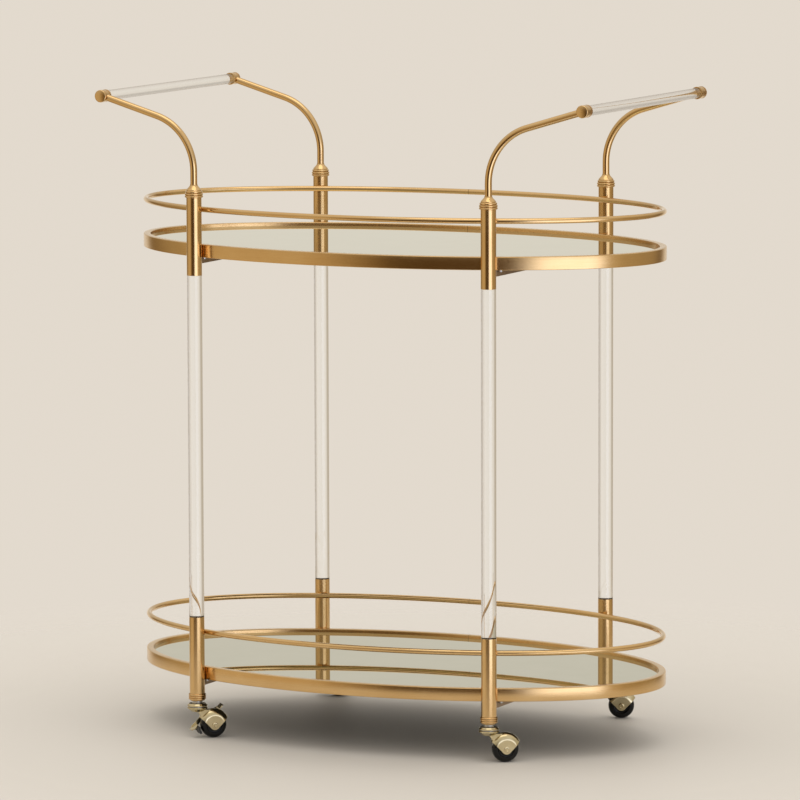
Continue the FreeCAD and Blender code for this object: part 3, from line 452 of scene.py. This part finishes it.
def shown(name, mesh, finish, soft_edge=0.0):
    """An object for a mesh, smooth between its edges, with its finish."""
    turn_outwards(mesh)
    mesh.shade_smooth()
    mesh.set_sharp_from_angle(angle=CREASE)
    mesh.materials.clear()
    mesh.materials.append(finish)
    piece = bpy.data.objects.new(name, mesh)
    bpy.context.scene.collection.objects.link(piece)
    if soft_edge:
        bevel = piece.modifiers.new("soft edges", "BEVEL")
        bevel.width = soft_edge
        bevel.segments = 2
        bevel.limit_method = "ANGLE"
        bevel.angle_limit = CREASE
        bevel.harden_normals = True
    return piece


def turn_outwards(mesh):
    """Points every face outwards."""
    work = bmesh.new()
    work.from_mesh(mesh)
    bmesh.ops.recalc_face_normals(work, faces=work.faces)
    work.to_mesh(mesh)
    work.free()


def stands_for(piece, node):
    """Puts a piece in the place of its CAD node, on its body, and hides the node."""
    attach(piece, frame["nodes"][node]["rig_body"])
    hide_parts(node)


def dress(node, finish):
    """Gives a CAD node that stays in view its finish."""
    mesh = frame["nodes"][node].data
    mesh.materials.clear()
    mesh.materials.append(finish)


# ---------------------------------------------------------------- node trees for what follows a path or repeats

class Tree(Nodes):
    """A geometry node tree with named inputs, which ends in real faces with a finish."""

    def __init__(self, name):
        super().__init__(bpy.data.node_groups.new(name, "GeometryNodeTree"))
        for way in ("INPUT", "OUTPUT"):
            self.tree.interface.new_socket("Geometry", in_out=way, socket_type="NodeSocketGeometry")
        self.inputs = self.add("NodeGroupInput", {}, {})
        self.named = {}

    def named_input(self, name, kind):
        """Adds an input and remembers its identifier."""
        socket = self.tree.interface.new_socket(name, in_out="INPUT", socket_type=kind)
        self.named[name] = socket.identifier
        return socket

    def size(self, name, start):
        """A named input: a length in metres, an angle in degrees or a whole number."""
        kind = "NodeSocketInt" if isinstance(start, int) else "NodeSocketFloat"
        self.named_input(name, kind).default_value = start
        return Level(self, self.inputs.outputs[name])

    def finish(self):
        """The named input for the material."""
        self.named_input("Finish", "NodeSocketMaterial")
        return self.inputs.outputs["Finish"]

    def vector(self, x=0.0, y=0.0, z=0.0):
        """A vector from three numbers."""
        return self.add("ShaderNodeCombineXYZ", {}, {"X": x, "Y": y, "Z": z}).outputs["Vector"]

    def position(self):
        """The place of each point."""
        return self.add("GeometryNodeInputPosition", {}, {}).outputs["Position"]

    def stored(self, geometry, name, vector):
        """Geometry with a vector kept on its points."""
        settings = {"data_type": "FLOAT_VECTOR", "domain": "POINT"}
        values = {"Geometry": geometry, "Name": name, "Value": vector}
        return self.add("GeometryNodeStoreNamedAttribute", settings, values).outputs["Geometry"]

    def held(self, name, letter):
        """One number of a vector that was kept on the points."""
        settings = {"data_type": "FLOAT_VECTOR"}
        vector = self.add("GeometryNodeInputNamedAttribute", settings, {"Name": name}).outputs["Attribute"]
        return self.part(vector, letter)

    def filleted(self, curve, radius, count):
        """A curve with its corners rounded to a radius."""
        values = {"Curve": curve, "Radius": radius, "Count": count, "Limit Radius": True}
        return self.add("GeometryNodeFilletCurve", {"mode": "POLY"}, values).outputs["Curve"]

    def swept(self, path, profile):
        """A capped sweep of a profile along a path, with its grain along the path."""
        run = self.add("GeometryNodeSplineParameter", {}, {}).outputs["Length"]
        path = self.stored(path, "run", self.vector(z=run))
        profile = self.stored(profile, "across", self.position())
        values = {"Curve": path, "Profile Curve": profile, "Fill Caps": True}
        swept = self.add("GeometryNodeCurveToMesh", {}, values).outputs["Mesh"]
        along = self.held("run", "Z") * GRAIN_STRETCH
        swept = self.stored(swept, "grain", self.vector(self.held("across", "X"), self.held("across", "Y"), along))
        for name in ("run", "across"):
            values = {"Geometry": swept, "Name": name}
            swept = self.add("GeometryNodeRemoveAttribute", {}, values).outputs["Geometry"]
        return swept

    def end(self, geometry, finish):
        """Ends the tree in real faces with the finish."""
        real = self.add("GeometryNodeRealizeInstances", {}, {"Geometry": geometry}).outputs["Geometry"]
        values = {"Geometry": real, "Material": finish}
        dressed = self.add("GeometryNodeSetMaterial", {}, values).outputs["Geometry"]
        self.add("NodeGroupOutput", {}, {"Geometry": dressed})
        return self

    def baked(self, name, finish, sizes, start=None):
        """Runs the tree on a start mesh and returns its result as a plain mesh."""
        start = start or bpy.data.meshes.new(name + "_start")
        seed = bpy.data.objects.new(name + "_seed", start)
        bpy.context.scene.collection.objects.link(seed)
        modifier = seed.modifiers.new("tree", "NODES")
        modifier.node_group = self.tree
        for key, value in {"Finish": finish, **sizes}.items():
            modifier[self.named[key]] = value
        seen = seed.evaluated_get(bpy.context.evaluated_depsgraph_get())
        mesh = bpy.data.meshes.new_from_object(seen)
        mesh.name = name
        seed.modifiers.remove(modifier)
        bpy.data.objects.remove(seed)
        return mesh


def oval_tree():
    """A bar of rounded section bent into an oval, with its butt joint at the back."""
    tree = Tree("oval bar")
    half_length = tree.size("Half length", 0.4)
    half_depth = tree.size("Half depth", 0.2275)
    height = tree.size("Height", 0.7)
    width = tree.size("Bar width", 0.01)
    depth = tree.size("Bar height", 0.019)
    corner = tree.size("Bar corner", 0.0008)
    steps = tree.size("Corner steps", 3)
    gap = tree.maths("RADIANS", tree.size("Joint gap", 0.02))
    finish = tree.finish()
    values = {"Resolution": 360, "Radius": 1.0,
              "Start Angle": gap * 0.5 + FULL_TURN / 4, "Sweep Angle": FULL_TURN - gap}
    path = tree.add("GeometryNodeCurveArc", {}, values).outputs["Curve"]
    place = tree.position()
    oval = tree.vector(tree.part(place, "X") * half_length, tree.part(place, "Y") * half_depth, height)
    path = tree.add("GeometryNodeSetPosition", {}, {"Geometry": path, "Position": oval}).outputs["Geometry"]
    path = tree.add("GeometryNodeSetCurveNormal", {"mode": "Z_UP"}, {"Curve": path}).outputs["Curve"]
    values = {"Width": width, "Height": depth}
    section = tree.add("GeometryNodeCurvePrimitiveQuadrilateral", {}, values).outputs["Curve"]
    return tree.end(tree.swept(path, tree.filleted(section, corner, steps)), finish)


def bent_rod_tree():
    """A round rod along a path whose corners are bent to one radius."""
    tree = Tree("bent rod")
    bend = tree.size("Bend radius", 0.082)
    radius = tree.size("Rod radius", 0.005)
    finish = tree.finish()
    path = tree.add("GeometryNodeMeshToCurve", {}, {"Mesh": tree.inputs.outputs["Geometry"]}).outputs["Curve"]
    values = {"Resolution": 40, "Radius": radius}
    section = tree.add("GeometryNodeCurvePrimitiveCircle", {}, values).outputs["Curve"]
    return tree.end(tree.swept(tree.filleted(path, bend, 48), section), finish)


def screws_tree():
    """Pan-head screws with a cross recess, head down, at every point of the start mesh."""
    tree = Tree("pan-head screws")
    radius = tree.size("Head radius", 0.0035)
    height = tree.size("Head height", 0.0024)
    slot = tree.size("Recess width", 0.0007)
    finish = tree.finish()
    values = {"Vertices": 40, "Side Segments": 1, "Fill Segments": 1, "Radius": radius, "Depth": height}
    head = tree.add("GeometryNodeMeshCylinder", {"fill_type": "NGON"}, values).outputs["Mesh"]
    long = radius * 1.15
    lowered = tree.vector(z=height * -0.6)
    for sizes in (tree.vector(long, slot, height), tree.vector(slot, long, height)):
        bar = tree.add("GeometryNodeMeshCube", {}, {"Size": sizes}).outputs["Mesh"]
        bar = tree.add("GeometryNodeTransform", {}, {"Geometry": bar, "Translation": lowered}).outputs["Geometry"]
        settings = {"operation": "DIFFERENCE", "solver": "EXACT"}
        head = tree.add("GeometryNodeMeshBoolean", settings, {"Mesh 1": head, "Mesh 2": bar}).outputs["Mesh"]
    values = {"Points": tree.inputs.outputs["Geometry"], "Instance": head}
    screws = tree.add("GeometryNodeInstanceOnPoints", {}, values).outputs["Instances"]
    return tree.end(screws, finish)


# ---------------------------------------------------------------- where things are

def middle(node):
    """The middle of a CAD node's box."""
    low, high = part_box(node)
    return (low + high) / 2


def upright(corner, height):
    """A place on a post's axis."""
    post = middle(corner + "_lower_sleeve")
    return Matrix.Translation((post.x, post.y, height))


def joint_place(name):
    """Where one of the cart's joints turns."""
    return next(Vector(joint["pos_m"]) for joint in frame["joints"] if joint["name"] == name)


def axle_frame(corner):
    """A wheel's own frame: its axle as Z, square to the caster's heading."""
    swivel = joint_place(corner + "_swivel")
    wheel = joint_place(corner + "_wheel_spin")
    heading = Matrix.Rotation(math.atan2(wheel.y - swivel.y, wheel.x - swivel.x), 4, "Z")
    return Matrix.Translation(wheel) @ heading @ Matrix.Rotation(math.radians(-90), 4, "X")


# ---------------------------------------------------------------- trays

def build_trays(ring_gold, rail_gold, dark_bars, mirror, board_finish, steel):
    """Rings, rails, mirrors, boards, crossbars and screws."""
    oval = oval_tree()
    for tier in TIERS:
        build_oval(oval, tier + "_ring", tier + "_tray_frame", ring_gold, RING_WIDTH, RING_CORNER, 4)
        rail_low, rail_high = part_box(tier + "_gallery_rail")
        rod = rail_high.z - rail_low.z
        build_oval(oval, tier + "_rail", tier + "_gallery_rail", rail_gold, rod, rod * 0.4999, 10)
        dress(tier + "_mirror", mirror)
        dress(tier + "_backing_board", board_finish)
        for side in SIDES:
            dress(f"{tier}_{side}_crossbar", dark_bars)
    build_screws(steel)
    dress("post_studs", steel)


def build_oval(oval, name, node, finish, width, corner, steps):
    """One oval bar in the place of its CAD node."""
    low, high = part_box(node)
    sizes = {"Half length": high.x - width / 2, "Half depth": high.y - width / 2, "Height": (low.z + high.z) / 2,
             "Bar width": width, "Bar height": high.z - low.z, "Bar corner": corner, "Corner steps": steps}
    mesh = oval.baked(name, finish, sizes)
    stands_for(shown(name, mesh, finish), node)


def build_screws(steel):
    """The tray screws' heads, one beside each post under each ring."""
    points = []
    for tier in TIERS:
        ring_low, ring_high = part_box(tier + "_tray_frame")
        half_length, half_depth = ring_high.x - RING_WIDTH / 2, ring_high.y - RING_WIDTH / 2
        for corner in CORNERS:
            post = middle(corner + "_lower_sleeve")
            x = post.x + SCREW_OFFSET
            y = math.copysign(half_depth * math.sqrt(1 - (x / half_length) ** 2), post.y)
            points.append((x, y, ring_low.z - SCREW_HEAD_HEIGHT / 2))
    start = bpy.data.meshes.new("screw_points")
    start.from_pydata(points, [], [])
    sizes = {"Head radius": SCREW_HEAD_RADIUS, "Head height": SCREW_HEAD_HEIGHT}
    mesh = screws_tree().baked("tray_screw_heads", steel, sizes, start)
    stands_for(shown("tray_screw_heads", mesh, steel), "tray_screws")


# ---------------------------------------------------------------- posts

def build_posts(gold, clear, dark):
    """Sleeves, clear rods and collars of the four posts."""
    top_collars, foot_collars = Blank(), Blank()
    for corner in CORNERS:
        for tier in TIERS:
            node = f"{corner}_{tier}_sleeve"
            low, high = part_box(node)
            length = high.z - low.z
            wall = [(TUBE_BORE, 0), (TUBE_RADIUS, 0), (TUBE_RADIUS, length), (TUBE_BORE, length)]
            tube = Blank().turned(wall, upright(corner, low.z), closed=True, lengthwise=True)
            stands_for(tube.piece(f"{corner}_{tier}_tube", gold, 0.25 * MM), node)
        build_clear_rod(corner, clear)
        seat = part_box(corner + "_upper_sleeve")[1].z
        top_collars.turned(top_collar_outline(), upright(corner, seat))
        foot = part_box(corner + "_lower_sleeve")[0].z
        foot_collars.turned(foot_collar_outline(), upright(corner, foot), closed=True)
    stands_for(top_collars.piece("beaded_top_collars", gold, 0.12 * MM), "top_collars")
    stands_for(foot_collars.piece("beaded_foot_collars", gold, 0.12 * MM), "bottom_collars")
    dress("stem_sockets", dark)


def build_clear_rod(corner, clear):
    """One clear post with its spigots."""
    low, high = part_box(corner + "_acrylic_post")
    length = high.z - low.z
    outline = [(0, 0), (TUBE_BORE, 0), (TUBE_BORE, SPIGOT_LENGTH), (CLEAR_ROD_RADIUS, SPIGOT_LENGTH),
               (CLEAR_ROD_RADIUS, length - SPIGOT_LENGTH), (TUBE_BORE, length - SPIGOT_LENGTH),
               (TUBE_BORE, length), (0, length)]
    rod = Blank().turned(outline, upright(corner, low.z), lengthwise=True)
    stands_for(rod.piece(corner + "_clear_post", clear), corner + "_acrylic_post")


def top_collar_outline():
    """The top collar: three beads, then a hollow flare up to the neck round the arm."""
    outline = [(0, -14), (9.5, -14), (9.5, 0)]
    for radius, height, reach in ((11.6, 1.65, 1.65), (11.6, 4.95, 1.65), (10.8, 8.3, 1.7)):
        outline += arc(radius, height, reach, -90, 90, 10)
    outline += [(11.0, 10.9), (10.2, 12.2), (9.2, 13.3), (8.1, 14.4), (7.0, 15.5), (6.1, 16.7), (5.5, 17.7)]
    outline += [(5.5, 18.9), (5, 18.9), (5, 7.2), (0, 7.2)]
    return scaled(outline)


def foot_collar_outline():
    """The foot collar: three beads over a soft underside, bored for the stem."""
    height = -10.2
    belly = height + 1.5
    bead = -belly / 3
    outline = [(STEM_RADIUS, height), (10.0, height), (10.9, height + 0.6), (11.2, belly)]
    for number in range(3):
        outline += arc(11.2, belly + bead * (number + 0.5), bead / 2, -90, 90, 10)
    return scaled(outline + [(STEM_RADIUS, 0)])


# ---------------------------------------------------------------- push handles

def build_handles(gold, arm_gold, clear):
    """Bent arms, ringed caps and clear push bars."""
    bent_rod = bent_rod_tree()
    for corner in CORNERS:
        post = middle(corner + "_lower_sleeve")
        cap = middle(corner + "_handle_cap")
        foot = Vector((post.x, post.y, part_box(corner + "_handle_arm")[0].z))
        turn = Vector((post.x, post.y, cap.z - abs(cap.x - post.x) * math.tan(ARM_SLOPE)))
        end = cap + (turn - cap).normalized() * ARM_END_FROM_CAP
        start = bpy.data.meshes.new(corner + "_arm_path")
        start.from_pydata([foot, turn, end], [(0, 1), (1, 2)], [])
        mesh = bent_rod.baked(corner + "_arm", arm_gold, {"Bend radius": ARM_BEND}, start)
        stands_for(shown(corner + "_arm", mesh, arm_gold), corner + "_handle_arm")
        outwards = math.copysign(1, post.y)
        place = Matrix.Translation((cap.x, cap.y + outwards * CAP_HALF_LENGTH, cap.z))
        place = place @ Matrix.Rotation(math.radians(90) * outwards, 4, "X")
        piece = Blank().turned(cap_outline(), place).piece(corner + "_cap", gold, 0.15 * MM)
        stands_for(piece, corner + "_handle_cap")
    for side in SIDES:
        low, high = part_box(side + "_handle_bar")
        length = high.y - low.y
        place = Matrix.Translation(((low.x + high.x) / 2, low.y, (low.z + high.z) / 2))
        place = place @ Matrix.Rotation(math.radians(-90), 4, "X")
        outline = [(0, 0), (PUSH_BAR_RADIUS, 0), (PUSH_BAR_RADIUS, length), (0, length)]
        bar = Blank().turned(outline, place, lengthwise=True)
        stands_for(bar.piece(side + "_clear_push_bar", clear), side + "_handle_bar")


def cap_outline():
    """A handle cap from its closed end: rim, groove, barrel, groove and rim, then the seat of the bar."""
    outline = [(0, 0), (7.6, 0), (8.4, 0.25), (8.85, 0.7), (9, 1.3), (9, 3.5), (8.2, 3.5), (8.2, 4.5)]
    outline += [(8.8, 4.5), (8.8, 14), (8.2, 14), (8.2, 15), (9, 15), (9, 18), (7.5, 18), (7.5, 17.6), (0, 17.6)]
    return scaled(outline)


# ---------------------------------------------------------------- casters

def build_casters(gold, black, dark, steel):
    """Stems, plates, hoods, axles, wheels and brakes."""
    stems, plates = Blank(), Blank()
    stem_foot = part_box("caster_stems")[1].z - STEM_TOP * MM
    plate_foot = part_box("caster_top_plates")[0].z
    for corner in CORNERS:
        stems.turned(stem_outline(), upright(corner, stem_foot))
        plates.turned(plate_outline(), upright(corner, plate_foot), closed=True)
        wheel = Blank().turned(wheel_outline(), axle_frame(corner), closed=True)
        stands_for(wheel.piece(corner + "_wheel", black, 0.2 * MM), corner + "_caster_wheel")
        axle = Blank().turned(axle_outline(), axle_frame(corner), steps=RIVET_STEPS)
        stands_for(axle.piece(corner + "_axle", gold, 0.1 * MM), corner + "_caster_axle")
        dress(corner + "_caster_hood", gold)
    stands_for(stems.piece("bright_stems", steel, 0.15 * MM), "caster_stems")
    stands_for(plates.piece("round_top_plates", gold, 0.15 * MM), "caster_top_plates")
    dress("swivel_washers", steel)
    for corner in BRAKED:
        dress(corner + "_brake_lever", gold)
        dress(corner + "_brake_shoe", dark)
        dress(corner + "_brake_pin", gold)


def stem_outline():
    """The stem from its swivel pin up: pin with bead, bright collar and shank."""
    outline = [(0, -10.5), (2.5, -10.5), (3, -10), (3, -8.1), (3.5, -7.7), (3.5, -7.1), (3, -6.7), (3, 0)]
    outline += [(7.1, 0), (7.7, 0.6), (7.7, 1.6), (7.2, 1.9), (7.2, 2.4), (7.7, 2.7), (7.7, 3.7), (7.1, 4.3)]
    outline += [(STEM_RADIUS, 4.3), (STEM_RADIUS, STEM_TOP), (0, STEM_TOP)]
    return scaled(outline)


def plate_outline():
    """The round top plate with its rolled rim."""
    outline = [(3, 0)] + arc(13.7, 1, 1, -90, 90, 8)
    outline += [(12.2, 3.7), (9.5, 3.7), (9.2, 3.45), (8.6, 3.45), (8.3, 3.7), (3, 3.7)]
    return scaled(outline)


def wheel_outline():
    """The wheel's section: bore, hub, dished side, rounded tread, and back."""
    side = [(2.55, 8), (5.4, 8), (6, 7.6), (6.5, 6.8), (7.1, 6.5), (8.2, 6.5), (8.5, 6.8), (9.3, 6.8), (9.6, 6.5)]
    side += [(10.8, 6.5), (11.3, 6.8), (11.7, 7.7), (12.1, 8)]
    return scaled(with_mirrored(side + arc(13, 2, 6, 90, 0, 14)))


def axle_outline():
    """The riveted axle with its hollow heads."""
    head = [(0, 11.5), (1.7, 11.5), (2.35, 12.2), (3.6, 12.2), (4.1, 11.9), (4.3, 11.5), (4.3, 11), (2.5, 11)]
    return scaled(with_mirrored(head))


# ---------------------------------------------------------------- stage

WALL = (0.765, 0.70, 0.615)
HIGH_WALL = (0.86, 0.81, 0.72)
CEILING = (1.15, 1.08, 0.98)
DUSK = (0.10, 0.06, 0.024)
AMBER = (0.66, 0.54, 0.36)
WINDOW = (1.8, 1.9, 2.3)
# The studio as it is met on a turn round the cart, in degrees from the camera's side.
ROUND_THE_STUDIO = (
    (-180, HIGH_WALL),
    (-155, (0.82, 0.76, 0.66)),
    (-138, (0.28, 0.20, 0.10)),
    (-112, (0.45, 0.36, 0.22)),
    (-92, AMBER),
    (-58, AMBER),
    (-45, (0.34, 0.24, 0.12)),
    (-36, DUSK),
    (-1, DUSK),
    (15, WINDOW),
    (42, WINDOW),
    (57, (0.60, 0.50, 0.34)),
    (75, (0.48, 0.39, 0.25)),
    (110, (0.42, 0.34, 0.22)),
    (135, (0.25, 0.19, 0.12)),
    (155, (0.80, 0.74, 0.64)),
    (180, HIGH_WALL),
)
CAMERA_SIDE = math.radians(25.93)


def build_stage():
    """Pale floor, soft light and camera."""
    build_floor()
    build_surroundings()
    build_overhead_light()
    build_camera()
    bpy.context.scene.view_settings.view_transform = "Standard"


def build_floor():
    """A plain floor under the cart."""
    mesh = bpy.data.meshes.new("floor")
    rim = [(-FLOOR_REACH, -FLOOR_REACH, 0), (FLOOR_REACH, -FLOOR_REACH, 0),
           (FLOOR_REACH, FLOOR_REACH, 0), (-FLOOR_REACH, FLOOR_REACH, 0)]
    mesh.from_pydata(rim, [], [(0, 1, 2, 3)])
    mesh.materials.append(pale_floor())
    floor = bpy.data.objects.new("floor", mesh)
    bpy.context.scene.collection.objects.link(floor)


def build_surroundings():
    """A pale studio with a dark side towards the camera and a tall bright window beside it."""
    world = bpy.data.worlds.new("studio")
    sky = Board(world)
    towards = sky.add("ShaderNodeTexCoord", {}, {}).outputs["Generated"]
    east, north, high = (sky.part(towards, letter) for letter in "XYZ")
    ahead = east * math.sin(CAMERA_SIDE) - north * math.cos(CAMERA_SIDE)
    aside = east * math.cos(CAMERA_SIDE) + north * math.sin(CAMERA_SIDE)
    around = sky.maths("ARCTAN2", aside, ahead) * (1 / FULL_TURN) + 0.5
    stops = [(degrees / 360 + 0.5, colour) for degrees, colour in ROUND_THE_STUDIO]
    walls = sky.add("ShaderNodeValToRGB", {"stops": stops}, {"Fac": around}).outputs["Color"]
    upper_walls = sky.mix(high.spread(0.07, 0.22) * 0.75, walls, HIGH_WALL)
    light = sky.mix(high.spread(0.30, 0.75), upper_walls, CEILING)
    # Seen straight on, and in part through the clear rods, the surroundings are a plain pale wall.
    rays = sky.add("ShaderNodeLightPath", {}, {}).outputs
    plain = Level(sky, rays["Is Camera Ray"]) + Level(sky, rays["Is Transmission Ray"]) * 0.45
    colour = sky.mix(plain, light, WALL)
    strength = 1 - Level(sky, rays["Is Glossy Ray"]) * high.spread(0.05, 0.20) * 0.25
    background = sky.add("ShaderNodeBackground", {}, {"Color": colour, "Strength": strength})
    sky.add("ShaderNodeOutputWorld", {}, {"Surface": background.outputs["Background"]})
    bpy.context.scene.world = world


def build_overhead_light():
    """One wide soft light high above the cart, a little towards the camera's side."""
    side, lift, distance = math.radians(26), math.radians(80), 14.0
    away = Vector((math.sin(side) * math.cos(lift), -math.cos(side) * math.cos(lift), math.sin(lift)))
    data = bpy.data.lights.new("overhead", "AREA")
    data.shape = "SQUARE"
    data.size = 10.0
    data.energy = 300
    data.color = (1.0, 0.96, 0.90)
    light = bpy.data.objects.new("overhead", data)
    light.location = Vector((0, 0, 0.5)) + away * distance
    light.rotation_euler = away.to_track_quat("Z", "Y").to_euler()
    bpy.context.scene.collection.objects.link(light)


def build_camera():
    """The camera, which looks slightly down from the front right."""
    data = bpy.data.cameras.new("camera")
    data.sensor_width = 36.0
    data.lens = 272.84
    data.clip_end = 400.0
    camera = bpy.data.objects.new("camera", data)
    place = Vector((3.81953, -7.85502, 1.54477))
    right = Vector((0.89929, 0.43734, -0.00283))
    back = right.cross(Vector((-0.05030, 0.10984, 0.99268))).normalized()
    up = back.cross(right).normalized()
    camera.matrix_world = Matrix.Translation(place) @ Matrix((right, up, back)).transposed().to_4x4()
    bpy.context.scene.collection.objects.link(camera)
    bpy.context.scene.camera = camera


# ---------------------------------------------------------------- the cart

def build_cart():
    """Every piece of the cart in its finish."""
    gold = satin_gold("satin_gold")
    ring_gold = satin_gold("ring_gold", joint_line=True)
    rail_gold = satin_gold("rail_gold", sheen=0.08, joint_line=True)
    arm_gold = satin_gold("arm_gold", sheen=0.08)
    bright_gold = polished_gold()
    clear = clear_acrylic()
    steel = bright_steel()
    dark = matte_black()
    build_trays(ring_gold, rail_gold, dark_bronze(), mirror_glass(), backing_board(), steel)
    build_posts(gold, clear, dark)
    build_handles(gold, arm_gold, clear)
    build_casters(bright_gold, wheel_black(), dark, steel)


build_cart()
build_stage()
